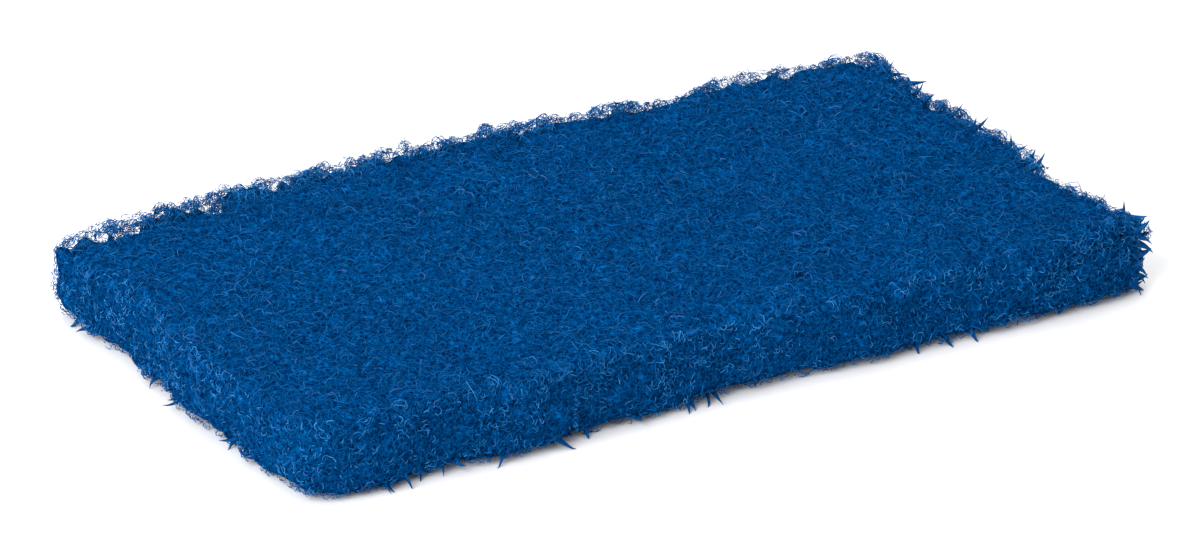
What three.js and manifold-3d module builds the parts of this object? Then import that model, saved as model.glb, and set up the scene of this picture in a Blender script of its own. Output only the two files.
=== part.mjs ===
// Scouring pad: one rectangular slab of springy, open nylon web.
//
// Millimetres, Z up. X runs along the pad and Y across it. The origin lies on the surface that the pad
// rests on, under the middle of its outline. The top is quilted with low lumps. The sides are cut by hand,
// so they wander and are ragged, and tufts of cut fibre curl out of them. The middle of the underside is
// flat, and its rim is lifted a little.

import * as THREE from 'three';
import { ImprovedNoise } from 'three/addons/math/ImprovedNoise.js';
import { mergeVertices } from 'three/addons/utils/BufferGeometryUtils.js';
import Module from 'manifold-3d';

const { clamp, degToRad, lerp, seededRandom, smoothstep } = THREE.MathUtils;

// Slab
const PAD_LENGTH = 250;
const PAD_WIDTH = 140;
const PAD_THICKNESS = 22;
const CORNER_RADIUS = 5;
const EDGE_ROUNDING = 2.5;
const FACET_SIZE = 5;
const SIDE_FACET_HEIGHT = 4;

// Low lumps of the top
const LUMP_HEIGHT = 1.6;
const LUMP_SPACING = 13;

// Underside: its rim is lifted, and inside the rim it would hang a little below the resting plane, which
// cuts it flat
const RIM_LIFT = 0.6;
const RIM_WIDTH = 15;
const BELLY_DEPTH = 0.8;

// Ragged cut of the sides
const RAG_DEPTH = 2.2;
const RAG_SPACING = 8.3;
const RAG_REACH = 6;

// How far each cut side wanders from straight, outwards, at equal steps towards +X or +Y, and how far in
// from the side the top and underside follow it
const WANDER_FRONT = [0.2, 2.3, 0.7, 3.4, -0.2, 0.3, -2.1, -1, -0.1, -0.8, -0.2, 0.6, -2.5];
const WANDER_BACK = [-4.5, -0.3, 0.7, 2.6, 3.3, 3.8, 2.3, 2.1, 1.2, -3.4, 0.7, -1.9, -4.5];
const WANDER_LEFT = [-2.5, -0.5, 0, 1.7, -1, -2, -0.1, 2.3];
const WANDER_RIGHT = [2.1, -1.3, -3, 0.2, -0.6, -0.2, 0.2, 2.3];
const WANDER_REACH = 16;

// Tufts of cut fibre
const TUFT_LENGTH = 5;
const RIGHT_TUFT_LENGTH = 7;
const TUFT_RADIUS = 1.6;
const TUFT_ROOT = 4;
const TUFT_SPACING = 6;
const RIGHT_TUFT_SPACING = 4;
const TUFT_MARGIN = 3;
const TUFT_MOST_BEND = degToRad(110);
const TUFT_MOST_TURN = degToRad(50);
const TUFT_SEED = 41;
const TUFT_SIDES = 4;
const TUFT_STEPS = 3;

const WEB_BLUE = '#064581';

const wasm = await Module();
wasm.setup();

const noise = new ImprovedNoise();
// Offsets that keep the lattices of the noises away from the middle of the pad
const LUMP_SHIFT = 7.37;
const RAG_SHIFT = 3.61;
const RIM_SHIFT = 11.83;

/** Rounds the box corner at halfA, halfB, so that the point's a and b end on or inside a quarter circle. */
function roundCorner(point, a, halfA, b, halfB, radius) {
  const u = (Math.abs(point[a]) - halfA) / radius + 1;
  const v = (Math.abs(point[b]) - halfB) / radius + 1;
  if (u <= 0 || v <= 0) return;
  point[a] -= Math.sign(point[a]) * radius * u * (1 - Math.sqrt(1 - (v * v) / 2));
  point[b] -= Math.sign(point[b]) * radius * v * (1 - Math.sqrt(1 - (u * u) / 2));
}

/** How far a side wanders out at a share of its length, from 0 to 1. */
function wanderAt(steps, share) {
  const place = clamp(share, 0, 1) * (steps.length - 1);
  const step = Math.min(Math.floor(place), steps.length - 2);
  return lerp(steps[step], steps[step + 1], smoothstep(place - step, 0, 1));
}

/** Noise at a point, -1 to 1, for lumps that lie a spacing apart. */
function noiseAt(point, spacing, shift) {
  return noise.noise(point.x / spacing + shift, point.y / spacing + shift, point.z / spacing + shift);
}

/** Where the skin lies for a point of the unit box, whose coordinates run from -0.5 to 0.5. */
function skinPoint(unit) {
  const point = new THREE.Vector3(unit.x * PAD_LENGTH, unit.y * PAD_WIDTH, unit.z * PAD_THICKNESS);
  const [halfX, halfY, halfZ] = [PAD_LENGTH / 2, PAD_WIDTH / 2, PAD_THICKNESS / 2];
  const [absX, absY] = [Math.abs(point.x), Math.abs(point.y)];
  const nearness = (reach) => [
    smoothstep(absX, halfX - reach, halfX),
    smoothstep(absY, halfY - reach, halfY),
  ];
  const [wanderX, wanderY] = nearness(WANDER_REACH);
  const [ragX, ragY] = nearness(RAG_REACH);
  const rim = Math.max(...nearness(RIM_WIDTH));
  const endSteps = unit.x < 0 ? WANDER_LEFT : WANDER_RIGHT;
  const sideSteps = unit.y < 0 ? WANDER_FRONT : WANDER_BACK;

  roundCorner(point, 'x', halfX, 'y', halfY, CORNER_RADIUS);
  roundCorner(point, 'x', halfX, 'z', halfZ, EDGE_ROUNDING);
  roundCorner(point, 'y', halfY, 'z', halfZ, EDGE_ROUNDING);

  const rag = RAG_DEPTH * noiseAt(point, RAG_SPACING, RAG_SHIFT);
  const lump = LUMP_HEIGHT * noiseAt({ x: point.x, y: point.y, z: 0 }, LUMP_SPACING, LUMP_SHIFT);
  const lift = RIM_LIFT * (1 + noiseAt({ x: point.x, y: point.y, z: 0 }, LUMP_SPACING, RIM_SHIFT)) / 2;
  const hang = lerp(-BELLY_DEPTH, lift, rim);
  point.x += Math.sign(unit.x) * (wanderX * wanderAt(endSteps, unit.y + 0.5) + ragX * rag);
  point.y += Math.sign(unit.y) * (wanderY * wanderAt(sideSteps, unit.x + 0.5) + ragY * rag);
  point.z += halfZ;
  point.z += smoothstep(unit.z, 0, 0.5) * lump + smoothstep(-unit.z, 0, 0.5) * hang;
  return point;
}

/** Closed geometry as a solid that can be joined to others. */
function toSolid(geometry) {
  geometry.deleteAttribute('normal');
  geometry.deleteAttribute('uv');
  const welded = mergeVertices(geometry);
  return new wasm.Manifold(new wasm.Mesh({
    numProp: 3,
    vertProperties: new Float32Array(welded.attributes.position.array),
    triVerts: new Uint32Array(welded.index.array),
  }));
}

/** A solid as geometry to show. */
function toGeometry(solid) {
  const mesh = solid.getMesh();
  const geometry = new THREE.BufferGeometry();
  geometry.setAttribute('position', new THREE.BufferAttribute(mesh.vertProperties, 3));
  geometry.setIndex(new THREE.BufferAttribute(mesh.triVerts, 1));
  geometry.computeVertexNormals();
  return geometry;
}

/** Everything below the resting plane, as far as the pad reaches. */
function buildFloor() {
  const [length, width, depth] = [PAD_LENGTH, PAD_WIDTH, PAD_THICKNESS];
  const floor = new THREE.BoxGeometry(2 * length, 2 * width, depth);
  floor.translate(0, 0, -depth / 2);
  return toSolid(floor);
}

/** The slab: a box of small facets, each corner of which is moved onto the skin, cut flat underneath. */
function buildSlab() {
  const facets = [PAD_LENGTH / FACET_SIZE, PAD_WIDTH / FACET_SIZE, PAD_THICKNESS / SIDE_FACET_HEIGHT];
  const box = new THREE.BoxGeometry(1, 1, 1, ...facets.map(Math.round));
  const corner = new THREE.Vector3();
  const { position } = box.attributes;
  for (let i = 0; i < position.count; i += 1) {
    const point = skinPoint(corner.fromBufferAttribute(position, i));
    position.setXYZ(i, point.x, point.y, point.z);
  }
  return toSolid(box).subtract(buildFloor());
}

/** One tuft: a cone bent along an arc, with its root at the origin. It leaves along +X and bends to +Z. */
function buildTuft(length, bend) {
  const cone = new THREE.ConeGeometry(TUFT_RADIUS, 1, TUFT_SIDES, TUFT_STEPS);
  cone.translate(0, 0.5, 0);
  const { position } = cone.attributes;
  const arcRadius = length / bend;
  for (let i = 0; i < position.count; i += 1) {
    const angle = bend * position.getY(i);
    const reach = arcRadius - position.getZ(i);
    position.setXYZ(i, reach * Math.sin(angle), -position.getX(i), arcRadius - reach * Math.cos(angle));
  }
  return toSolid(cone);
}

/**
 * The tufts of one side, most of them near its top and bottom edges. share runs along the side from 0 to 1,
 * and unitAt gives its unit box point.
 */
function buildTufts(random, side) {
  const count = Math.round(side.length / side.spacing);
  const lowest = TUFT_MARGIN / PAD_THICKNESS - 0.5;
  return Array.from({ length: count }, (_, index) => {
    const share = (index + lerp(0.2, 0.8, random())) / count;
    const level = smoothstep(random(), 0, 1);
    const root = skinPoint(side.unitAt(share, lerp(lowest, -lowest, level)));
    const visible = side.tuftLength * lerp(0.5, 1, random());
    const turn = side.heading + lerp(-TUFT_MOST_TURN, TUFT_MOST_TURN, random());
    const roll = lerp(-Math.PI / 2, Math.PI / 2, random());
    const tuft = buildTuft(visible + TUFT_ROOT, TUFT_MOST_BEND * lerp(0.2, 1, random()));
    const rolled = new THREE.Matrix4().makeRotationX(roll);
    const turned = new THREE.Matrix4().makeRotationZ(turn).multiply(rolled);
    const inwards = new THREE.Vector3(-TUFT_ROOT, 0, 0).applyMatrix4(turned);
    return tuft.transform(turned.setPosition(root.add(inwards)).toArray());
  });
}

/** All the tufts, side by side round the pad. */
function buildAllTufts() {
  let seed = TUFT_SEED;
  const random = () => {
    seed += 1;
    return seededRandom(seed);
  };
  const plain = { spacing: TUFT_SPACING, tuftLength: TUFT_LENGTH };
  const frayed = { spacing: RIGHT_TUFT_SPACING, tuftLength: RIGHT_TUFT_LENGTH };
  const alongY = (x) => (share, z) => ({ x, y: share - 0.5, z });
  const alongX = (y) => (share, z) => ({ x: share - 0.5, y, z });
  const sides = [
    { ...plain, heading: -Math.PI / 2, length: PAD_LENGTH, unitAt: alongX(-0.5) },
    { ...plain, heading: Math.PI / 2, length: PAD_LENGTH, unitAt: alongX(0.5) },
    { ...plain, heading: Math.PI, length: PAD_WIDTH, unitAt: alongY(-0.5) },
    { ...frayed, heading: 0, length: PAD_WIDTH, unitAt: alongY(0.5) },
  ];
  return sides.flatMap((side) => buildTufts(random, side));
}

/** The pad: slab and tufts in one solid, moved so that the origin is under the middle of its outline. */
function buildPad() {
  const geometry = toGeometry(wasm.Manifold.union([buildSlab(), ...buildAllTufts()]));
  geometry.computeBoundingBox();
  const middle = geometry.boundingBox.getCenter(new THREE.Vector3());
  geometry.translate(-middle.x, -middle.y, -geometry.boundingBox.min.z);
  const nylon = new THREE.MeshStandardMaterial({ color: WEB_BLUE, roughness: 0.9, metalness: 0 });
  const pad = new THREE.Mesh(geometry, nylon);
  pad.name = 'scouring_pad';
  return pad;
}

const model = new THREE.Group();
model.add(buildPad());

export default model;
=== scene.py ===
"""Dresses the frame of a scouring pad as an open web of coarse blue nylon fibres.

The pad's body is the dense inside of the web, drawn in from the skin. Over it lie layers of real fibres,
each a thin closed tube: short loops on every side, longer strands over the top, and lumps of loops round
the top edge, which light passes. Pointed wisps curl out of the cut, and stouter teeth out of the frayed
corner. Metres, with X along the pad, Y across it and Z up from the surface that it rests on.
"""

from __future__ import annotations

import logging
import math
from dataclasses import dataclass, field
from enum import Enum
from typing import ClassVar

import bpy
import numpy as np
from mathutils.bvhtree import BVHTree
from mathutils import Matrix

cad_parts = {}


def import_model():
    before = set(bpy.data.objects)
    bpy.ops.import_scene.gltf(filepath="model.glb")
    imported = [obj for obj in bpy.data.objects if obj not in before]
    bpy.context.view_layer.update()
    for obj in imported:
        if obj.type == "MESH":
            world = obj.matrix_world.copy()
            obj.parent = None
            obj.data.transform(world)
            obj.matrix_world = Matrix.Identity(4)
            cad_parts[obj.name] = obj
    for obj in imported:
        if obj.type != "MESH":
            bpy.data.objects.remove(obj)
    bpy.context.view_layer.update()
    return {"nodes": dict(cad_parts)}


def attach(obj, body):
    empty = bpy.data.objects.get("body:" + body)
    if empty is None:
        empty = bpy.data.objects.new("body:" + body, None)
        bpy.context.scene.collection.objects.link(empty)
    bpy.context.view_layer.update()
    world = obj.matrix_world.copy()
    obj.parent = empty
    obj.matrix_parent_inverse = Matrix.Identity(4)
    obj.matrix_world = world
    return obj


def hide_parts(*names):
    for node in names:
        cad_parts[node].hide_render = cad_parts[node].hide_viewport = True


log = logging.getLogger("scouring_pad")

MM = 0.001
PAD_NODE = "scouring_pad"

# The slab inside the frame's box, without its tufts
SLAB_LENGTH = 250 * MM
SLAB_WIDTH = 140 * MM
SLAB_THICKNESS = 22 * MM

# The fibres lie a little more along one way of the web than across it. The way is turned so far from the
# pad's width.
LAY = math.radians(-30)
LAY_STRETCH = 1.4

# Every fibre is swept with this many corners, and thins to this share at its cut ends
TUBE_CORNERS = 3
END_SHARE = 0.5
# How thick single fibres are beside their layer's usual thickness
THICKNESS_SPREAD = (0.75, 1.25)
# The fibres' UV map: across it lies the fibre's tone, and up it the way along the fibre
FIBRE_MAP = "OFBake"
TONE_BAND = 0.03
# The tone below which a fibre has the odd colour
ODD_TONE = 0.03

Colour = tuple[float, float, float, float]
# What a node's input can take: another node's output, or a plain number or colour
Feed = bpy.types.NodeSocket | float | Colour


class Region(Enum):
    """A part of the skin that fibres start from."""

    TOP = "top"
    SIDES = "sides"
    RIM = "rim"
    UNDERSIDE = "underside"
    CUT = "cut"
    FRAYED_CORNER = "frayed corner"


def unit(vectors: np.ndarray) -> np.ndarray:
    """Scales each row to length one.

    Args:
        vectors: Rows of three numbers.

    Returns:
        The rows as unit vectors.
    """
    length = np.linalg.norm(vectors, axis=-1, keepdims=True)
    return vectors / np.maximum(length, 1e-12)


def turned(vectors: np.ndarray, axes: np.ndarray, angles: np.ndarray) -> np.ndarray:
    """Turns each row about its own unit axis.

    Args:
        vectors: The rows to turn.
        axes: One unit axis for each row.
        angles: One angle for each row, in radians.

    Returns:
        The turned rows.
    """
    cosine = np.cos(angles)[:, None]
    sine = np.sin(angles)[:, None]
    along = np.sum(axes * vectors, axis=1, keepdims=True) * axes
    return vectors * cosine + np.cross(axes, vectors) * sine + along * (1 - cosine)


def laid(directions: np.ndarray) -> np.ndarray:
    """Stretches each row along the web's lay.

    Args:
        directions: Rows of three numbers.

    Returns:
        The stretched rows.
    """
    lay = np.array([-math.sin(LAY), math.cos(LAY), 0.0])
    return directions + (LAY_STRETCH - 1) * np.sum(directions * lay, axis=1, keepdims=True) * lay


def select_only(thing: bpy.types.Object) -> None:
    """Selects one object and nothing else, and makes it active.

    Args:
        thing: The object.
    """
    bpy.ops.object.select_all(action="DESELECT")
    thing.select_set(True)
    bpy.context.view_layer.objects.active = thing


class SmoothNoise:
    """Repeatable smooth noise, from -1 to 1, over points in space."""

    LATTICE = 48

    def __init__(self, seed: int, spacing: float) -> None:
        """Fills the lattice.

        Args:
            seed: The noise's own number.
            spacing: The distance between lattice points.
        """
        self.spacing = spacing
        self.values = np.random.default_rng(seed).uniform(-1, 1, (self.LATTICE,) * 3)

    def at(self, points: np.ndarray) -> np.ndarray:
        """Reads the noise.

        Args:
            points: Rows of three coordinates.

        Returns:
            One value for each row.
        """
        scaled = points / self.spacing
        low = np.floor(scaled).astype(int)
        share = scaled - low
        share = share * share * (3 - 2 * share)
        total = np.zeros(len(points))
        for corner in np.ndindex(2, 2, 2):
            step = np.array(corner)
            weight = np.prod(np.where(step == 1, share, 1 - share), axis=1)
            place = (low + step) % self.LATTICE
            total += weight * self.values[place[:, 0], place[:, 1], place[:, 2]]
        return total


@dataclass
class PadSkin:
    """The smooth skin of the frame's slab, without its tufts, which the body and the fibres follow."""

    OPEN_REACH: ClassVar[float] = 14 * MM
    LEFT_END_REACH: ClassVar[float] = 6 * MM
    LEAST_OPEN: ClassVar[float] = 0.35

    face_size: float = 1.4 * MM
    smoothing_rounds: int = 6
    flat_from: float = 0.6
    side_up_to: float = 0.75
    rim_across: float = 9 * MM
    rim_down: float = 5 * MM
    corner_reach: float = 11 * MM
    corner_foot_reach: float = 24 * MM
    vertices: np.ndarray = field(init=False)
    normals: np.ndarray = field(init=False)
    faces: list[tuple[int, ...]] = field(init=False)
    tree: BVHTree = field(init=False)

    def build(self, node: bpy.types.Object) -> bpy.types.Object:
        """Remeshes a copy of the slab evenly and reads it.

        Args:
            node: The frame's solid.

        Returns:
            The remeshed copy, which the body is made from.
        """
        skin = bpy.data.objects.new("web_body", node.data.copy())
        bpy.context.scene.collection.objects.link(skin)
        skin.data.materials.clear()
        select_only(skin)
        bpy.ops.object.mode_set(mode="EDIT")
        bpy.ops.mesh.select_all(action="SELECT")
        bpy.ops.mesh.remove_doubles(threshold=1e-6)
        bpy.ops.object.mode_set(mode="OBJECT")
        even = skin.modifiers.new("Even faces", "REMESH")
        even.mode = "VOXEL"
        even.voxel_size = self.face_size
        smooth = skin.modifiers.new("Smoothing", "SMOOTH")
        smooth.factor = 0.5
        smooth.iterations = self.smoothing_rounds
        for modifier in (even.name, smooth.name):
            bpy.ops.object.modifier_apply(modifier=modifier)
        self.drop_crumbs(skin)
        self.read(skin)
        return skin

    @staticmethod
    def drop_crumbs(skin: bpy.types.Object) -> None:
        """Deletes what the remesh split off at the tips of the solid's tufts.

        Args:
            skin: The remeshed copy.
        """
        select_only(skin)
        bpy.ops.mesh.separate(type="LOOSE")
        parts = sorted(bpy.context.selected_objects, key=lambda part: len(part.data.vertices))
        whole = parts.pop()
        if whole is not skin:
            skin.data, whole.data = whole.data, skin.data
            parts = [part for part in parts if part is not skin] + [whole]
        for part in parts:
            bpy.data.objects.remove(part)

    def read(self, skin: bpy.types.Object) -> None:
        """Keeps the skin's points, normals and faces, and the tree that finds the nearest of them.

        Args:
            skin: The remeshed copy.
        """
        mesh = skin.data
        flat = np.empty(len(mesh.vertices) * 3, np.float32)
        mesh.vertices.foreach_get("co", flat)
        self.vertices = flat.reshape(-1, 3).astype(float)
        mesh.vertices.foreach_get("normal", flat)
        self.normals = flat.reshape(-1, 3).astype(float)
        self.faces = [tuple(face.vertices) for face in mesh.polygons]
        self.tree = BVHTree.FromPolygons(self.vertices.tolist(), self.faces)

    def nearest(self, points: np.ndarray) -> tuple[np.ndarray, np.ndarray]:
        """Finds the skin below or above each point.

        Args:
            points: Rows of three coordinates.

        Returns:
            The nearest points of the skin and its normals there.
        """
        places = np.empty_like(points)
        normals = np.empty_like(points)
        for row, point in enumerate(points.tolist()):
            place, normal, _, _ = self.tree.find_nearest(point)
            places[row] = place
            normals[row] = normal
        return places, normals

    @staticmethod
    def from_side(points: np.ndarray) -> np.ndarray:
        """How far each point lies in from the nearest cut side, in metres."""
        across = SLAB_LENGTH / 2 - np.abs(points[:, 0])
        along = SLAB_WIDTH / 2 - np.abs(points[:, 1])
        return np.minimum(across, along)

    @staticmethod
    def from_corner(points: np.ndarray) -> np.ndarray:
        """How far each point lies in from the frayed corner, at the front of the right end, in metres."""
        return SLAB_LENGTH / 2 - points[:, 0] + points[:, 1] + SLAB_WIDTH / 2

    @classmethod
    def openness(cls, points: np.ndarray) -> np.ndarray:
        """How open the top edge is near each point.

        It is loosest along the back side, most of all towards its left end, and along the right end. The
        left end itself is dense.

        Args:
            points: Rows of three coordinates.

        Returns:
            One share for each row, 1 along most of the back.
        """
        from_back = SLAB_WIDTH / 2 - points[:, 1]
        from_right = SLAB_LENGTH / 2 - points[:, 0]
        from_left = SLAB_LENGTH / 2 + points[:, 0]
        back = np.clip(1.3 - from_back / cls.OPEN_REACH, 0, 1)
        back *= np.clip(0.2 + from_left / cls.LEFT_END_REACH, 0, 1)
        right = np.clip(1.3 - from_right / cls.OPEN_REACH, 0, 1)
        towards_left = np.clip(-points[:, 0] / SLAB_LENGTH * 2 - 0.3, 0, 1)
        return np.maximum(cls.LEAST_OPEN, np.maximum(back * (1 + 1.9 * towards_left), 0.9 * right))

    def weights(self, region: Region) -> np.ndarray:
        """How likely a fibre of a region starts at each point of the skin.

        Args:
            region: The part of the skin.

        Returns:
            One weight for each point of the skin.
        """
        up = self.normals[:, 2]
        below_top = SLAB_THICKNESS - self.vertices[:, 2]
        if region is Region.TOP:
            return (up > self.flat_from).astype(float)
        if region is Region.UNDERSIDE:
            return (up < -self.flat_from).astype(float)
        if region is Region.SIDES:
            return (np.abs(up) <= self.side_up_to).astype(float)
        if region is Region.RIM:
            openness = self.openness(self.vertices)
            near = self.from_side(self.vertices) < self.rim_across * openness
            near &= below_top < self.rim_down * openness
            farthest_left = np.clip(-4 * self.vertices[:, 0] / SLAB_LENGTH - 1, 0, 1)
            return near * openness**0.7 * (1 - 0.75 * farthest_left)
        if region is Region.CUT:
            low = np.clip(1 - self.vertices[:, 2] / SLAB_THICKNESS / 0.25, 0, 1)
            return (np.abs(up) < 0.7) * (np.where(self.normals[:, 0] > 0.6, 0.4, 0.04) + low)
        low = np.clip(1 - self.vertices[:, 2] / SLAB_THICKNESS / 0.3, 0, 1)
        outwards = (self.normals[:, 0] > 0.2) | ((low > 0) & (self.normals[:, 1] < -0.5))
        reach = self.corner_reach + self.corner_foot_reach * low
        return ((self.from_corner(self.vertices) < reach) & outwards).astype(float)


@dataclass
class FibreBundle:
    """The centre lines of many fibres, all with the same number of points."""

    points: np.ndarray
    radii: np.ndarray
    tones: np.ndarray

    def sweep(self, name: str) -> bpy.types.Object:
        """Sweeps a three-cornered section along every centre line.

        Args:
            name: The piece's name.

        Returns:
            The piece, with a fibre map.
        """
        rings = self.rings()
        fibres, steps = self.points.shape[:2]
        quads, caps = self.faces(fibres, steps)
        mesh = bpy.data.meshes.new(name)
        mesh.from_pydata(rings.reshape(-1, 3).tolist(), [], quads.tolist() + caps.tolist())
        self.add_map(mesh, fibres, steps, quads, caps)
        mesh.shade_smooth()
        piece = bpy.data.objects.new(name, mesh)
        bpy.context.scene.collection.objects.link(piece)
        return piece

    def rings(self) -> np.ndarray:
        """The section's corners at every point of every fibre, carried along without twist."""
        fibres, steps = self.points.shape[:2]
        ahead = unit(np.gradient(self.points, axis=1))
        least = np.eye(3)[np.argmin(np.abs(ahead[:, 0]), axis=1)]
        side = unit(np.cross(ahead[:, 0], least))
        rings = np.empty((fibres, steps, TUBE_CORNERS, 3))
        for step in range(steps):
            tangent = ahead[:, step]
            side = unit(side - np.sum(side * tangent, axis=1, keepdims=True) * tangent)
            other = np.cross(tangent, side)
            for corner in range(TUBE_CORNERS):
                angle = math.tau * corner / TUBE_CORNERS
                reach = math.cos(angle) * side + math.sin(angle) * other
                rings[:, step, corner] = self.points[:, step] + reach * self.radii[:, step, None]
        return rings

    @staticmethod
    def faces(fibres: int, steps: int) -> tuple[np.ndarray, np.ndarray]:
        """The walls and the two ends of every fibre.

        Args:
            fibres: The number of fibres.
            steps: The points of each.

        Returns:
            The four-cornered walls and the three-cornered ends, with their faces pointing out.
        """
        start = np.arange(fibres)[:, None, None] * steps * TUBE_CORNERS
        step = np.arange(steps - 1)[None, :, None] * TUBE_CORNERS
        corner = np.arange(TUBE_CORNERS)[None, None, :]
        after = (corner + 1) % TUBE_CORNERS
        base = start + step
        near = [base + corner, base + after]
        far = [base + after + TUBE_CORNERS, base + corner + TUBE_CORNERS]
        walls = np.stack(near + far, axis=-1)
        first = np.arange(fibres)[:, None] * steps * TUBE_CORNERS + np.arange(TUBE_CORNERS)[::-1]
        last = np.arange(fibres)[:, None] * steps * TUBE_CORNERS + (steps - 1) * TUBE_CORNERS
        last = last + np.arange(TUBE_CORNERS)
        return walls.reshape(-1, 4), np.concatenate([first, last])

    def add_map(
        self,
        mesh: bpy.types.Mesh,
        fibres: int,
        steps: int,
        quads: np.ndarray,
        caps: np.ndarray,
    ) -> None:
        """Lays every fibre in the map as a narrow upright band at its tone.

        Args:
            mesh: The swept mesh.
            fibres: The number of fibres.
            steps: The points of each.
            quads: The walls.
            caps: The ends.
        """
        shares = np.tile(np.linspace(0, 1, steps)[None, :, None], (fibres, 1, TUBE_CORNERS)).reshape(-1)
        tones = np.repeat(self.tones, steps * TUBE_CORNERS)
        corner = np.tile(np.arange(TUBE_CORNERS), fibres * steps)
        wall_corner = corner[quads].astype(float)
        wall_corner[:, 1:3] = wall_corner[:, [0]] + 1
        across = tones[quads] * (1 - TONE_BAND) + TONE_BAND * wall_corner / TUBE_CORNERS
        cap_across = tones[caps] * (1 - TONE_BAND) + TONE_BAND / 2
        u = np.concatenate([across.reshape(-1), cap_across.reshape(-1)])
        v = np.concatenate([shares[quads].reshape(-1), shares[caps].reshape(-1)])
        layer = mesh.uv_layers.new(name=FIBRE_MAP)
        layer.data.foreach_set("uv", np.stack([u, v], axis=-1).reshape(-1).astype(np.float32))


@dataclass
class LoopLayer:
    """A layer of short loops of fibre, which arch out of the body and dip back into it.

    A loop is an arc about a point under the skin. Its top lies at its own height over the skin, below zero
    where it is under it, and its plane leans over by up to the most lean.
    """

    name: str
    region: Region
    seed: int
    loops: int
    thickness: float
    radius: tuple[float, float]
    top: tuple[float, float]
    steps: int = 6
    sweep: tuple[float, float] = (1.0, 1.8)
    lean: float = 1.3
    drift: float = 0.5
    clump: float = 0.6
    clump_size: float = 3.5 * MM
    clump_lift: float = 0.4 * MM
    tone: tuple[float, float] = (0.0, 1.0)
    odd_share: float = 0.01
    patchiness: float = 0.12
    patch_size: float = 18 * MM
    scatter: float = 0.6 * MM
    most_shift: float = 0.35
    unevenness: float = 0.1

    def grow(self, skin: PadSkin) -> FibreBundle:
        """Sets every loop on the skin.

        Args:
            skin: The pad's skin.

        Returns:
            The layer's centre lines.
        """
        random = np.random.default_rng(self.seed)
        clumps = SmoothNoise(self.seed, self.clump_size)
        crowding = np.clip(1 + 1.8 * self.clump * clumps.at(skin.vertices), 0.1, None)
        weight = skin.weights(self.region) * crowding
        chosen = random.choice(len(weight), self.loops, p=weight / weight.sum())
        normal = skin.normals[chosen]
        scatter = random.normal(0, self.scatter, (self.loops, 3))
        foot = skin.vertices[chosen] + scatter - np.sum(scatter * normal, axis=1, keepdims=True) * normal
        across = laid(random.normal(0, 1, (self.loops, 3)))
        across = unit(across - np.sum(across * normal, axis=1, keepdims=True) * normal)
        lean = random.uniform(-self.lean, self.lean, self.loops)[:, None]
        crown = np.cos(lean) * normal + np.sin(lean) * np.cross(normal, across)
        aside = np.cross(across, crown)
        radius = random.uniform(*self.radius, self.loops)
        top = random.uniform(*self.top, self.loops) + self.clump_lift * clumps.at(foot)
        centre = foot + normal * (top - radius * np.cos(lean[:, 0]))[:, None]
        half = random.uniform(*self.sweep, self.loops)
        shift = random.uniform(-self.most_shift, self.most_shift, self.loops) * half
        drift = random.uniform(-self.drift, self.drift, self.loops) * radius
        points = np.empty((self.loops, self.steps, 3))
        for step, share in enumerate(np.linspace(-1, 1, self.steps)):
            angle = half * share + shift
            reach = radius * (1 + random.normal(0, self.unevenness, self.loops))
            points[:, step] = (
                centre
                + across * (reach * np.sin(angle))[:, None]
                + crown * (reach * np.cos(angle))[:, None]
                + aside * (drift * share)[:, None]
            )
        points[:, :, 2] = np.maximum(points[:, :, 2], self.thickness)
        radii = fibre_radii(random, self.loops, self.steps, self.thickness)
        patches = SmoothNoise(self.seed + 100, self.patch_size).at(foot)
        tones = random.uniform(*self.tone, self.loops) + self.patchiness * patches
        tones = np.clip(tones, 1.3 * ODD_TONE, 1)
        tones[random.uniform(0, 1, self.loops) < self.odd_share] = 0
        return FibreBundle(points, radii, tones)


@dataclass
class LumpLayer:
    """Rounded lumps along the top edge, each a loose ball of loops with its cut ends turned inwards."""

    name: str
    region: Region
    seed: int
    lumps: int
    loops: int
    thickness: float
    radius: tuple[float, float]
    depth: tuple[float, float]
    steps: int = 8
    gap: tuple[float, float] = (0.3, 1.6)
    # Painted light: the lumps' tones are raised so that the open rim looks lit through, against the shade
    # of the lumps round it.
    tone: tuple[float, float] = (0.25, 1.0)
    most_tilt: float = 0.8
    own_size: tuple[float, float] = (0.65, 1.1)
    unevenness: float = 0.1

    def grow(self, skin: PadSkin) -> FibreBundle:
        """Winds every lump.

        Args:
            skin: The pad's skin.

        Returns:
            The layer's centre lines.
        """
        random = np.random.default_rng(self.seed)
        weight = skin.weights(self.region)
        chosen = random.choice(len(weight), self.lumps, p=weight / weight.sum())
        radius = random.uniform(*self.radius, self.lumps)
        depth = radius + random.uniform(*self.depth, self.lumps)
        inwards = np.repeat(-skin.normals[chosen], self.loops, axis=0)
        centre = np.repeat(skin.vertices[chosen], self.loops, axis=0)
        centre += inwards * np.repeat(depth, self.loops)[:, None]
        radius = np.repeat(radius, self.loops)
        count = len(radius)
        axis = unit(random.normal(0, 1, (count, 3)))
        start = unit(inwards - np.sum(inwards * axis, axis=1, keepdims=True) * axis)
        other = np.cross(axis, start)
        tilt = random.uniform(-self.most_tilt, self.most_tilt, count)
        gap = random.uniform(*self.gap, count)
        own_size = random.uniform(*self.own_size, count)
        points = np.empty((count, self.steps, 3))
        for step, share in enumerate(np.linspace(0, 1, self.steps)):
            angle = gap + share * (math.tau - 2 * gap)
            reach = radius * (own_size + random.normal(0, self.unevenness, count))
            around = np.cos(angle)[:, None] * start + np.sin(angle)[:, None] * other
            points[:, step] = (
                centre + around * (reach * np.cos(tilt))[:, None] + axis * (reach * np.sin(tilt))[:, None]
            )
        points[:, :, 2] = np.maximum(points[:, :, 2], self.thickness)
        radii = fibre_radii(random, count, self.steps, self.thickness)
        return FibreBundle(points, radii, random.uniform(*self.tone, count))


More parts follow.
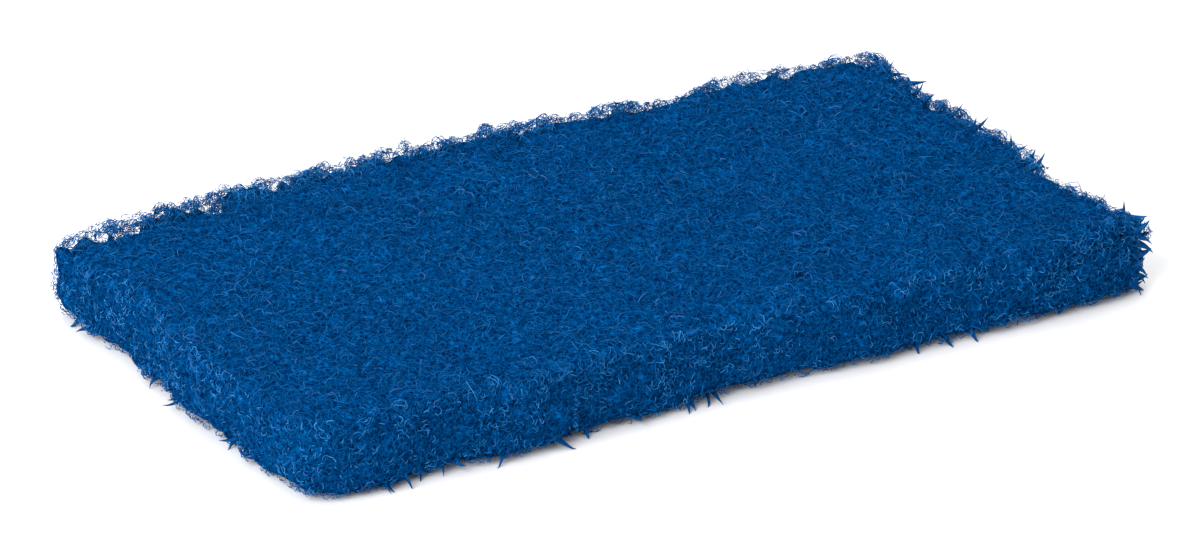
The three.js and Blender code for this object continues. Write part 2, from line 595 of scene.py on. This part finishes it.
@dataclass
class StrandLayer:
    """A layer of longer fibres, which follow the skin at their own depth and wave through it."""

    name: str
    region: Region
    seed: int
    fibres: int
    steps: int
    step: float
    thickness: float
    depth: tuple[float, float]
    curl_radius: tuple[float, float]
    wave: float = 0.5 * MM
    wave_length: float = 4.5 * MM
    wave_spread: tuple[float, float] = (0.6, 1.5)
    bend_spread: tuple[float, float] = (0.2, 1.8)
    turn_back_chance: float = 0.12
    tone: tuple[float, float] = (0.0, 1.0)

    def grow(self, skin: PadSkin) -> FibreBundle:
        """Grows every fibre step by step along the skin.

        Args:
            skin: The pad's skin.

        Returns:
            The layer's centre lines.
        """
        random = np.random.default_rng(self.seed)
        weight = skin.weights(self.region)
        chosen = random.choice(len(weight), self.fibres, p=weight / weight.sum())
        normal = skin.normals[chosen]
        depth = random.uniform(*self.depth, self.fibres)
        phase = random.uniform(0, math.tau, self.fibres)
        wave_length = self.wave_length * random.uniform(*self.wave_spread, self.fibres)
        place = skin.vertices[chosen] - normal * depth[:, None]
        heading = laid(random.normal(0, 1, (self.fibres, 3)))
        bend = self.step / random.uniform(*self.curl_radius, self.fibres)
        bend *= random.choice([-1, 1], self.fibres)
        points = np.empty((self.fibres, self.steps, 3))
        for step in range(self.steps):
            heading = unit(heading - np.sum(heading * normal, axis=1, keepdims=True) * normal)
            points[:, step] = place
            heading = turned(heading, normal, bend * random.uniform(*self.bend_spread, self.fibres))
            turning_back = random.uniform(0, 1, self.fibres) < self.turn_back_chance
            bend = np.where(turning_back, -bend, bend)
            skin_place, normal = skin.nearest(place + heading * self.step)
            height = self.wave * np.sin(phase + math.tau * (step + 1) * self.step / wave_length) - depth
            place = skin_place + normal * height[:, None]
        points[:, :, 2] = np.maximum(points[:, :, 2], self.thickness)
        radii = fibre_radii(random, self.fibres, self.steps, self.thickness)
        return FibreBundle(points, radii, random.uniform(*self.tone, self.fibres))


def fibre_radii(random: np.random.Generator, fibres: int, steps: int, thickness: float) -> np.ndarray:
    """The half thickness of every fibre at every point, less at its cut ends.

    Args:
        random: The layer's random numbers.
        fibres: The number of fibres.
        steps: The points of each.
        thickness: Their usual thickness.

    Returns:
        One row of radii for each fibre.
    """
    profile = np.ones(steps)
    profile[[0, -1]] = END_SHARE
    return thickness / 2 * random.uniform(*THICKNESS_SPREAD, fibres)[:, None] * profile[None, :]


class NodeBench:
    """Places and links the nodes of one material or group."""

    def __init__(self, tree: bpy.types.NodeTree) -> None:
        """Starts on an empty tree.

        Args:
            tree: The material's or group's tree.
        """
        self.tree = tree
        self.tree.nodes.clear()

    def add(self, kind: str, **settings: object) -> bpy.types.Node:
        """Adds a node.

        Args:
            kind: The node's type.
            **settings: Its own settings.

        Returns:
            The node.
        """
        node = self.tree.nodes.new(kind)
        for setting, value in settings.items():
            setattr(node, setting, value)
        return node

    def join(self, source: bpy.types.NodeSocket, target: bpy.types.NodeSocket) -> None:
        """Links an output to an input."""
        self.tree.links.new(source, target)

    def maths(
        self, operation: str, first: Feed, second: Feed | None = None, third: Feed | None = None
    ) -> bpy.types.NodeSocket:
        """Adds a Math node on sockets or plain numbers.

        Args:
            operation: What it does.
            first: Its first socket or number.
            second: Its second, if it has one.
            third: Its third, if it has one.

        Returns:
            Its output.
        """
        node = self.add("ShaderNodeMath", operation=operation)
        for place, value in enumerate((first, second, third)):
            if isinstance(value, bpy.types.NodeSocket):
                self.join(value, node.inputs[place])
            elif value is not None:
                node.inputs[place].default_value = value
        return node.outputs[0]

    def blend(self, factor: Feed, first: Feed, second: Feed, mode: str = "MIX") -> bpy.types.NodeSocket:
        """Adds a colour Mix node on sockets or plain colours.

        Args:
            factor: How much of the second shows.
            first: The first socket or colour.
            second: The second socket or colour.
            mode: How they blend.

        Returns:
            Its colour output.
        """
        node = self.add("ShaderNodeMix", data_type="RGBA", blend_type=mode)
        for place, value in ((0, factor), (6, first), (7, second)):
            if isinstance(value, bpy.types.NodeSocket):
                self.join(value, node.inputs[place])
            else:
                node.inputs[place].default_value = value
        return node.outputs[2]

    def ramp(self, value: bpy.types.NodeSocket, stops: list[tuple[float, float]]) -> bpy.types.NodeSocket:
        """Maps a value through a piecewise grey ramp.

        Args:
            value: The socket to map.
            stops: Places from 0 to 1 and the grey at each.

        Returns:
            The ramp's colour output.
        """
        node = self.add("ShaderNodeValToRGB")
        elements = node.color_ramp.elements
        while len(elements) < len(stops):
            elements.new(0.5)
        for element, (place, grey) in zip(elements, stops):
            element.position = place
            element.color = (grey, grey, grey, 1)
        self.join(value, node.inputs[0])
        return node.outputs[0]


def group_socket(tree: bpy.types.NodeTree, name: str, way: str, kind: str) -> None:
    """Gives a node group a named socket.

    Args:
        tree: The group.
        name: The socket's name.
        way: INPUT or OUTPUT.
        kind: The socket's type.
    """
    tree.interface.new_socket(name=name, in_out=way, socket_type=kind)


class FibreTone:
    """The shared colour of drawn nylon fibre: each has its own tone, a little uneven along its length. The
    tones of a layer also carry painted shade and painted light: deeper layers and the cut wisps are painted
    darker, the rim lumps lighter, and the lightest fibres are partly painted highlight.
    """

    NAME = "Fibre tone"

    @classmethod
    def group(cls) -> bpy.types.NodeTree:
        """Builds the node group once.

        Returns:
            The group, with inputs Tone, Along and four colours, and outputs Colour and Roughness.
        """
        if cls.NAME in bpy.data.node_groups:
            return bpy.data.node_groups[cls.NAME]
        tree = bpy.data.node_groups.new(cls.NAME, "ShaderNodeTree")
        bench = NodeBench(tree)
        group_socket(tree, "Tone", "INPUT", "NodeSocketFloat")
        group_socket(tree, "Along", "INPUT", "NodeSocketFloat")
        for name in ("Deep", "Body", "Light", "Odd"):
            group_socket(tree, name, "INPUT", "NodeSocketColor")
        group_socket(tree, "Colour", "OUTPUT", "NodeSocketColor")
        group_socket(tree, "Roughness", "OUTPUT", "NodeSocketFloat")
        source = bench.add("NodeGroupInput")
        result = bench.add("NodeGroupOutput")
        tone = source.outputs["Tone"]
        towards_body = bench.ramp(tone, [(0.04, 0.0), (0.5, 1.0)])
        towards_light = bench.ramp(tone, [(0.5, 0.0), (0.75, 0.3), (1.0, 1.0)])
        odd = bench.maths("LESS_THAN", tone, ODD_TONE)
        colour = bench.blend(towards_body, source.outputs["Deep"], source.outputs["Body"])
        colour = bench.blend(towards_light, colour, source.outputs["Light"])
        colour = bench.blend(odd, colour, source.outputs["Odd"])
        place = bench.add("ShaderNodeCombineXYZ")
        bench.join(bench.maths("MULTIPLY", tone, 60.0), place.inputs[0])
        bench.join(bench.maths("MULTIPLY", source.outputs["Along"], 5.0), place.inputs[1])
        uneven = bench.add("ShaderNodeTexNoise")
        uneven.inputs["Scale"].default_value = 1.0
        uneven.inputs["Detail"].default_value = 2.0
        bench.join(place.outputs[0], uneven.inputs["Vector"])
        shade = bench.ramp(uneven.outputs["Fac"], [(0.3, 0.72), (0.7, 1.18)])
        colour = bench.blend(1.0, colour, shade, "MULTIPLY")
        bench.join(colour, result.inputs["Colour"])
        rough = bench.maths("MULTIPLY_ADD", uneven.outputs["Fac"], 0.25, 0.4)
        bench.join(rough, result.inputs["Roughness"])
        return tree


@dataclass(frozen=True)
class NylonFibre:
    """The finish of the fibres: dyed blue nylon with a faint shine, and a light colour that is partly
    painted highlight.
    """

    name: str = "Blue nylon fibre"
    deep: Colour = (0.0003, 0.042, 0.16, 1)
    body: Colour = (0.0006, 0.088, 0.305, 1)
    # The light colour is partly the lighter tone of some fibres and partly painted highlight: it is whiter
    # to stand for glints on the nylon.
    light: Colour = (0.035, 0.27, 0.64, 1)
    odd: Colour = (0.06, 0.16, 0.44, 1)
    specular: float = 0.06
    shine: Colour = (0.15, 0.45, 1.0, 1)

    def material(self) -> bpy.types.Material:
        """Builds the material.

        Returns:
            The material, which reads each fibre's own map.
        """
        material = bpy.data.materials.new(self.name)
        material.use_nodes = True
        bench = NodeBench(material.node_tree)
        output = bench.add("ShaderNodeOutputMaterial")
        shader = bench.add("ShaderNodeBsdfPrincipled")
        shader.inputs["Specular IOR Level"].default_value = self.specular
        shader.inputs["Specular Tint"].default_value = self.shine
        tone = bench.add("ShaderNodeGroup", node_tree=FibreTone.group())
        colours = {"Deep": self.deep, "Body": self.body, "Light": self.light, "Odd": self.odd}
        for socket, colour in colours.items():
            tone.inputs[socket].default_value = colour
        place = bench.add("ShaderNodeUVMap", uv_map=FIBRE_MAP)
        parts = bench.add("ShaderNodeSeparateXYZ")
        bench.join(place.outputs[0], parts.inputs[0])
        bench.join(parts.outputs[0], tone.inputs["Tone"])
        bench.join(parts.outputs[1], tone.inputs["Along"])
        bench.join(tone.outputs["Colour"], shader.inputs["Base Color"])
        bench.join(tone.outputs["Roughness"], shader.inputs["Roughness"])
        bench.join(shader.outputs[0], output.inputs[0])
        return material


class DrawnFibres:
    """The shared pattern of deeper fibres: fine winding threads of even width that cross and part again."""

    NAME = "Drawn fibres"
    BEND_SCALE = 420.0
    SWAY = 2.6 * MM

    @classmethod
    def group(cls) -> bpy.types.NodeTree:
        """Builds the node group once.

        Returns:
            The group, with inputs Place, Density, Width and Layer, and the output Line.
        """
        if cls.NAME in bpy.data.node_groups:
            return bpy.data.node_groups[cls.NAME]
        tree = bpy.data.node_groups.new(cls.NAME, "ShaderNodeTree")
        bench = NodeBench(tree)
        group_socket(tree, "Place", "INPUT", "NodeSocketVector")
        for name in ("Density", "Width", "Layer"):
            group_socket(tree, name, "INPUT", "NodeSocketFloat")
        group_socket(tree, "Line", "OUTPUT", "NodeSocketFloat")
        source = bench.add("NodeGroupInput")
        result = bench.add("NodeGroupOutput")
        bends = bench.add("ShaderNodeTexNoise", noise_dimensions="4D")
        bends.inputs["Detail"].default_value = 1.0
        bends.inputs["Scale"].default_value = cls.BEND_SCALE
        bench.join(source.outputs["Place"], bends.inputs["Vector"])
        bench.join(source.outputs["Layer"], bends.inputs["W"])
        sway = bench.add("ShaderNodeVectorMath", operation="SUBTRACT")
        bench.join(bends.outputs["Color"], sway.inputs[0])
        sway.inputs[1].default_value = (0.5, 0.5, 0.5)
        moved = bench.add("ShaderNodeVectorMath", operation="MULTIPLY_ADD")
        bench.join(sway.outputs[0], moved.inputs[0])
        moved.inputs[1].default_value = (cls.SWAY,) * 3
        bench.join(source.outputs["Place"], moved.inputs[2])
        shift = bench.add("ShaderNodeVectorMath", operation="ADD")
        bench.join(moved.outputs[0], shift.inputs[0])
        bench.join(source.outputs["Layer"], shift.inputs[1])
        cells = bench.add("ShaderNodeTexVoronoi", feature="DISTANCE_TO_EDGE")
        bench.join(shift.outputs[0], cells.inputs["Vector"])
        bench.join(source.outputs["Density"], cells.inputs["Scale"])
        line = bench.maths("DIVIDE", cells.outputs["Distance"], source.outputs["Width"])
        line = bench.maths("SUBTRACT", 1.0, bench.maths("MINIMUM", line, 1.0))
        bench.join(line, result.inputs["Line"])
        return tree


@dataclass(frozen=True)
class WebDepth:
    """The finish of the body: the inside of the web, with the fibres that lie deeper drawn on it; the dark
    of its gaps and of its deeper drawn layers is painted shade.

    They lie a little more along one way of the web than across it.
    """

    name: str = "Inside of the web"
    # The gap colour is painted shade: the dark pits between the drawn fibres, where the inside of the web
    # falls into shade.
    gap: Colour = (0.0002, 0.014, 0.064, 1)
    fibre: Colour = (0.0003, 0.048, 0.19, 1)
    bright: Colour = (0.0013, 0.113, 0.375, 1)
    densities: tuple[float, ...] = (760.0, 660.0, 580.0, 500.0)
    widths: tuple[float, ...] = (0.13, 0.11, 0.095, 0.08)
    # Each drawn layer is multiplied by a painted shade, from the deepest layer, painted darkest, to the
    # highest, painted a little lighter.
    painted_shade_deepest: float = 0.7
    painted_shade_highest: float = 1.05
    patch_scale: float = 520.0
    uneven_scale: float = 650.0
    blotch_scale: float = 45.0
    relief: float = 0.3 * MM

    def material(self) -> bpy.types.Material:
        """Builds the material.

        Returns:
            The material, in object coordinates.
        """
        material = bpy.data.materials.new(self.name)
        material.use_nodes = True
        bench = NodeBench(material.node_tree)
        output = bench.add("ShaderNodeOutputMaterial")
        shader = bench.add("ShaderNodeBsdfPrincipled")
        shader.inputs["Roughness"].default_value = 0.85
        shader.inputs["Specular IOR Level"].default_value = 0.0
        where = bench.add("ShaderNodeTexCoord")
        place = bench.add("ShaderNodeMapping", vector_type="TEXTURE")
        place.inputs["Rotation"].default_value = (0, 0, LAY)
        place.inputs["Scale"].default_value = (1, LAY_STRETCH, 1)
        bench.join(where.outputs["Object"], place.inputs["Vector"])
        # The body starts from the gap colour, the painted shade between the drawn fibres.
        colour: Feed = self.gap
        height: Feed = 0.0
        for layer, (density, width) in enumerate(zip(self.densities, self.widths)):
            lines = bench.add("ShaderNodeGroup", node_tree=DrawnFibres.group())
            bench.join(place.outputs[0], lines.inputs["Place"])
            lines.inputs["Density"].default_value = density
            lines.inputs["Width"].default_value = width
            lines.inputs["Layer"].default_value = 3.7 * layer
            patch = bench.add("ShaderNodeTexNoise", noise_dimensions="4D")
            patch.inputs["Scale"].default_value = self.patch_scale
            patch.inputs["W"].default_value = 2.3 * layer
            bench.join(place.outputs[0], patch.inputs["Vector"])
            shown = bench.ramp(patch.outputs["Fac"], [(0.4, 0), (0.46, 1)])
            line = bench.maths("MULTIPLY", lines.outputs["Line"], shown)
            uneven = bench.add("ShaderNodeTexNoise", noise_dimensions="4D")
            uneven.inputs["Scale"].default_value = self.uneven_scale
            uneven.inputs["W"].default_value = 5.1 * layer
            bench.join(place.outputs[0], uneven.inputs["Vector"])
            share = bench.ramp(uneven.outputs["Fac"], [(0.42, 0), (0.64, 1)])
            tint = bench.blend(share, self.fibre, self.bright)
            # Painted shade by depth: the deeper a drawn layer, the darker it is painted.
            light = self.painted_shade_deepest + (self.painted_shade_highest - self.painted_shade_deepest) * layer / (len(self.densities) - 1)
            tint = bench.blend(1.0, tint, (light, light, light, 1), "MULTIPLY")
            colour = bench.blend(bench.ramp(line, [(0.05, 0), (0.35, 1)]), colour, tint)
            height = bench.maths("MAXIMUM", line, height)
        blotch = bench.add("ShaderNodeTexNoise")
        blotch.inputs["Scale"].default_value = self.blotch_scale
        blotch.inputs["Detail"].default_value = 3.0
        bench.join(where.outputs["Object"], blotch.inputs["Vector"])
        shade = bench.ramp(blotch.outputs["Fac"], [(0.3, 0.86), (0.7, 1.0)])
        colour = bench.blend(1.0, colour, shade, "MULTIPLY")
        bump = bench.add("ShaderNodeBump")
        bump.inputs["Distance"].default_value = self.relief
        bench.join(height, bump.inputs["Height"])
        bench.join(bump.outputs[0], shader.inputs["Normal"])
        bench.join(colour, shader.inputs["Base Color"])
        bench.join(shader.outputs[0], output.inputs[0])
        return material


@dataclass
class WebBody:
    """The dense inside of the web: the skin drawn in a little, and cut back under the open rim."""

    inset: float = 1.1 * MM
    side_inset: float = 0.7 * MM
    pit_depth: float = 0.55 * MM
    pit_spacing: float = 2.8 * MM
    lump_height: float = 0.55 * MM
    lump_spacing: float = 5 * MM
    open_across: float = 10 * MM
    open_down: float = 5.0 * MM
    open_unevenness: float = 1.3

    def shape(self, body: bpy.types.Object, skin: PadSkin) -> None:
        """Moves the skin copy's points to where the web gets dense.

        Args:
            body: The remeshed copy of the slab.
            skin: The pad's skin.
        """
        points = skin.vertices.copy()
        flat = np.abs(skin.normals[:, 2:3])
        inset = self.inset * flat + self.side_inset * (1 - flat)
        pits = SmoothNoise(5, self.pit_spacing).at(points)[:, None]
        lumps = SmoothNoise(6, self.lump_spacing).at(points)[:, None]
        points -= skin.normals * (inset + self.pit_depth * pits + self.lump_height * lumps)
        uneven = SmoothNoise(8, 6 * MM).at(points) + 0.6 * SmoothNoise(9, 3 * MM).at(points)
        openness = skin.openness(points) * (1 + self.open_unevenness * uneven)
        openness = np.maximum(openness, 0.1)
        across = self.open_across * openness
        down = self.open_down * openness
        short = 1 - skin.from_side(points) / across - (SLAB_THICKNESS - points[:, 2]) / down
        short = np.clip(short, 0, 1)
        slope = 1 / across**2 + 1 / down**2
        inwards = np.zeros_like(points)
        nearer_end = SLAB_LENGTH / 2 - np.abs(points[:, 0]) < SLAB_WIDTH / 2 - np.abs(points[:, 1])
        inwards[:, 0] = np.where(nearer_end, -np.sign(points[:, 0]), 0)
        inwards[:, 1] = np.where(nearer_end, 0, -np.sign(points[:, 1]))
        points += inwards * (short / slope / across)[:, None]
        points[:, 2] -= short / slope / down
        points[:, 2] = np.maximum(points[:, 2], 0.3 * MM)
        body.data.vertices.foreach_set("co", points.reshape(-1).astype(np.float32))
        body.data.update()

    def build(self, body: bpy.types.Object, skin: PadSkin) -> bpy.types.Object:
        """Shapes, smooths and dresses the body.

        Args:
            body: The remeshed copy of the slab.
            skin: The pad's skin.

        Returns:
            The finished piece.
        """
        self.shape(body, skin)
        select_only(body)
        smooth = body.modifiers.new("Smoothing", "SMOOTH")
        smooth.factor = 0.5
        smooth.iterations = 2
        bpy.ops.object.modifier_apply(modifier=smooth.name)
        bpy.ops.object.shade_smooth()
        body.data.materials.append(WebDepth().material())
        return body


@dataclass
class Thorns:
    """Pointed wisps of stuck-together fibre that curl out of a cut side.

    They leave along the skin's normal and hook up or down. With a lead, they start mostly where the skin
    faces that way, and leave along it.
    """

    name: str
    region: Region
    seed: int
    thorns: int
    steps: int = 9
    length: tuple[float, float] = (1.5 * MM, 4.5 * MM)
    root: float = 2.5 * MM
    thickness: tuple[float, float] = (1.2 * MM, 2.6 * MM)
    curl_radius: tuple[float, float] = (3 * MM, 8 * MM)
    lead: tuple[float, float] = (0.0, 0.0)
    lead_pull: float = 2.0
    lead_choice: float = 9.0
    rise: float = 0.3
    waver: float = 0.3
    roll: float = 0.4
    tip_share: float = 0.04
    # Painted shade: the wisps' tones are kept low, so that these solid wisps look as shaded as loose fibre
    # would.
    tone: tuple[float, float] = (0.04, 0.35)

    def grow(self, skin: PadSkin) -> FibreBundle:
        """Grows the wisps from the cut sides.

        Args:
            skin: The pad's skin.

        Returns:
            Their centre lines.
        """
        random = np.random.default_rng(self.seed)
        facing = skin.normals[:, :2] @ np.array(self.lead)
        weight = skin.weights(self.region) * np.exp(self.lead_choice * facing)
        chosen = random.choice(len(weight), self.thorns, p=weight / weight.sum())
        heading = skin.normals[chosen] * np.array([1, 1, self.rise])
        heading = unit(heading + self.lead_pull * np.array([*self.lead, 0]))
        heading = unit(heading + random.normal(0, self.waver, (self.thorns, 3)) * np.array([1, 1, 0.8]))
        place = skin.vertices[chosen] - heading * self.root
        length = random.uniform(*self.length, self.thorns)
        step = (length + self.root) / (self.steps - 1)
        level = np.cross(heading, np.array([0.0, 0.0, 1.0]))
        hooked = random.choice([-1, 1], self.thorns)[:, None]
        axis = unit(level + random.normal(0, self.roll, (self.thorns, 3))) * hooked
        bend = step / random.uniform(*self.curl_radius, self.thorns)
        points = np.empty((self.thorns, self.steps, 3))
        for row in range(self.steps):
            points[:, row] = place
            heading = unit(turned(heading, axis, bend))
            place = place + heading * step[:, None]
        profile = np.linspace(1, 0, self.steps) + self.tip_share
        radii = random.uniform(*self.thickness, self.thorns)[:, None] / 2 * profile[None, :]
        points[:, :, 2] = np.maximum(points[:, :, 2], radii)
        return FibreBundle(points, radii, random.uniform(*self.tone, self.thorns))


@dataclass
class FibreWeb:
    """All the fibre layers over the body."""

    layers: tuple[LoopLayer | LumpLayer | StrandLayer | Thorns, ...] = (
        # Painted shade: the lower top loops have darker tones than the upper ones, for fibres that lie
        # deeper in the web.
        LoopLayer(
            "top_loops_low", Region.TOP, 21, 3600, 0.19 * MM,
            radius=(0.8 * MM, 2.8 * MM), top=(-0.9 * MM, -0.2 * MM), sweep=(0.6, 1.4), tone=(0.0, 0.65),
        ),
        LoopLayer(
            "top_loops", Region.TOP, 22, 6200, 0.17 * MM,
            radius=(0.8 * MM, 2.8 * MM), top=(-0.4 * MM, 0.25 * MM), sweep=(0.6, 1.4), tone=(0.06, 0.82),
        ),
        StrandLayer(
            "top_strands", Region.TOP, 12, 340, 14, 1.0 * MM, 0.17 * MM,
            depth=(-0.1 * MM, 0.7 * MM), curl_radius=(1.8 * MM, 6 * MM), tone=(0.1, 0.75),
        ),
        LoopLayer(
            # Painted shade: the lower side loops have darker tones than the upper ones, for fibres that lie
            # deeper in the web.
            "side_loops_low", Region.SIDES, 26, 4600, 0.2 * MM, steps=5,
            radius=(0.35 * MM, 1.0 * MM), top=(-1.0 * MM, -0.1 * MM), lean=1.45, clump=0.8,
            tone=(0.0, 0.55), odd_share=0.02,
        ),
        LoopLayer(
            "side_loops", Region.SIDES, 23, 7600, 0.21 * MM, steps=5,
            radius=(0.4 * MM, 1.2 * MM), top=(-0.4 * MM, 0.35 * MM), lean=1.45, clump=1.0,
            tone=(0.24, 1.0), odd_share=0.025,
        ),
        LumpLayer(
            "rim_lumps", Region.RIM, 24, 500, 6, 0.17 * MM,
            radius=(1.0 * MM, 2.4 * MM), depth=(-1.3 * MM, 2.2 * MM),
        ),
        LumpLayer(
            "rim_bumps", Region.RIM, 27, 88, 10, 0.17 * MM,
            radius=(1.7 * MM, 2.8 * MM), depth=(-2.4 * MM, -1.0 * MM), gap=(0.2, 1.0), tone=(0.15, 0.9),
        ),
        LumpLayer(
            "corner_lumps", Region.FRAYED_CORNER, 28, 80, 6, 0.17 * MM,
            radius=(1.0 * MM, 2.2 * MM), depth=(-0.6 * MM, 0.8 * MM), tone=(0.1, 0.8),
        ),
        LoopLayer(
            "underside_loops", Region.UNDERSIDE, 25, 1300, 0.25 * MM, steps=5,
            radius=(0.9 * MM, 2.2 * MM), top=(-0.8 * MM, 0.0),
        ),
        Thorns("cut_wisps", Region.CUT, 77, 240),
        Thorns(
            "corner_teeth", Region.FRAYED_CORNER, 78, 34, length=(1.6 * MM, 4.0 * MM),
            thickness=(2.4 * MM, 4.0 * MM), curl_radius=(3 * MM, 7 * MM), lead=(0.7, -0.4),
            tone=(0.15, 0.5),
        ),
    )

    def build(self, skin: PadSkin) -> list[bpy.types.Object]:
        """Grows and sweeps every layer.

        Args:
            skin: The pad's skin.

        Returns:
            The pieces.
        """
        finish = NylonFibre().material()
        pieces = []
        for layer in self.layers:
            piece = layer.grow(skin).sweep(layer.name)
            piece.data.materials.append(finish)
            pieces.append(piece)
        return pieces


@dataclass
class Studio:
    """The pale floor, the soft lights and the camera."""

    floor_size: float = 12.0
    floor_colour: Colour = (0.86, 0.86, 0.86, 1)
    azimuth: float = -30.385
    elevation: float = 24.241
    distance: float = 1.8
    lens: float = 207.1
    shift_right: float = 0.07 * MM
    shift_up: float = 6.1 * MM
    slab_middle: tuple[float, float] = (-0.34 * MM, -0.06 * MM)

    def build(self) -> None:
        """Builds all of it."""
        bpy.context.scene.view_settings.view_transform = "Standard"
        self.floor()
        self.sky()
        self.light("Window light", (-1.0, -0.45, 0.7), 0.9, 20)
        self.light("Top light", (0.2, 0.5, 1.4), 1.2, 12)
        self.camera()

    def floor(self) -> None:
        """Adds the floor, with a faint mottle."""
        bpy.ops.object.select_all(action="DESELECT")
        bpy.ops.mesh.primitive_plane_add(size=self.floor_size, location=(0, 0, 0))
        floor = bpy.context.object
        floor.name = "studio_floor"
        material = bpy.data.materials.new("Pale floor")
        material.use_nodes = True
        bench = NodeBench(material.node_tree)
        output = bench.add("ShaderNodeOutputMaterial")
        shader = bench.add("ShaderNodeBsdfPrincipled")
        shader.inputs["Roughness"].default_value = 0.9
        mottle = bench.add("ShaderNodeTexNoise")
        mottle.inputs["Scale"].default_value = 3.0
        pale = bench.blend(mottle.outputs["Fac"], self.floor_colour, (0.9, 0.9, 0.9, 1))
        bench.join(pale, shader.inputs["Base Color"])
        bench.join(shader.outputs[0], output.inputs[0])
        floor.data.materials.append(material)

    @staticmethod
    def sky() -> None:
        """Lights the scene evenly from all round."""
        world = bpy.data.worlds.new("Studio")
        world.use_nodes = True
        backdrop = world.node_tree.nodes["Background"]
        backdrop.inputs["Color"].default_value = (1, 1, 1, 1)
        backdrop.inputs["Strength"].default_value = 0.75
        bpy.context.scene.world = world

    @staticmethod
    def light(name: str, place: tuple[float, float, float], size: float, watts: float) -> None:
        """Adds a square soft light that points at the pad.

        Args:
            name: Its name.
            place: Where it hangs.
            size: Its width.
            watts: Its power.
        """
        lamp = bpy.data.lights.new(name, "AREA")
        lamp.size = size
        lamp.energy = watts
        holder = bpy.data.objects.new(name, lamp)
        bpy.context.scene.collection.objects.link(holder)
        holder.location = place
        reach = math.hypot(place[0], place[1])
        holder.rotation_euler = (math.atan2(reach, place[2]), 0, math.atan2(place[0], -place[1]))

    def camera(self) -> None:
        """Adds the camera at the photo's angle."""
        azimuth = math.radians(self.azimuth)
        elevation = math.radians(self.elevation)
        level = math.cos(elevation)
        back = np.array([math.sin(azimuth) * level, -math.cos(azimuth) * level, math.sin(elevation)])
        right = np.array([math.cos(azimuth), math.sin(azimuth), 0.0])
        up = np.cross(back, right)
        place = back * self.distance + right * self.shift_right + up * self.shift_up
        lens = bpy.data.cameras.new("Camera")
        lens.lens = self.lens
        lens.sensor_width = 36
        lens.clip_end = 100
        camera = bpy.data.objects.new("Camera", lens)
        bpy.context.scene.collection.objects.link(camera)
        camera.location = (place[0] + self.slab_middle[0], place[1] + self.slab_middle[1], place[2])
        camera.rotation_euler = (math.pi / 2 - elevation, 0, azimuth)
        bpy.context.scene.camera = camera


def declare(piece: bpy.types.Object) -> None:
    """Ties a piece to the pad's body, and has it stand for the frame's solid.

    Args:
        piece: The finished piece.
    """
    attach(piece, "root")
    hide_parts(PAD_NODE)
    log.info("%s: %d faces", piece.name, len(piece.data.polygons))


def main() -> None:
    """Builds the pad's pieces and the studio."""
    logging.basicConfig(level=logging.INFO, format="%(name)s %(message)s")
    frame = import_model()
    skin = PadSkin()
    shell = skin.build(frame["nodes"][PAD_NODE])
    log.info("skin: %d faces", len(skin.faces))
    body = WebBody().build(shell, skin)
    declare(body)
    for piece in FibreWeb().build(skin):
        declare(piece)
    Studio().build()


if __name__ == "__main__":
    main()
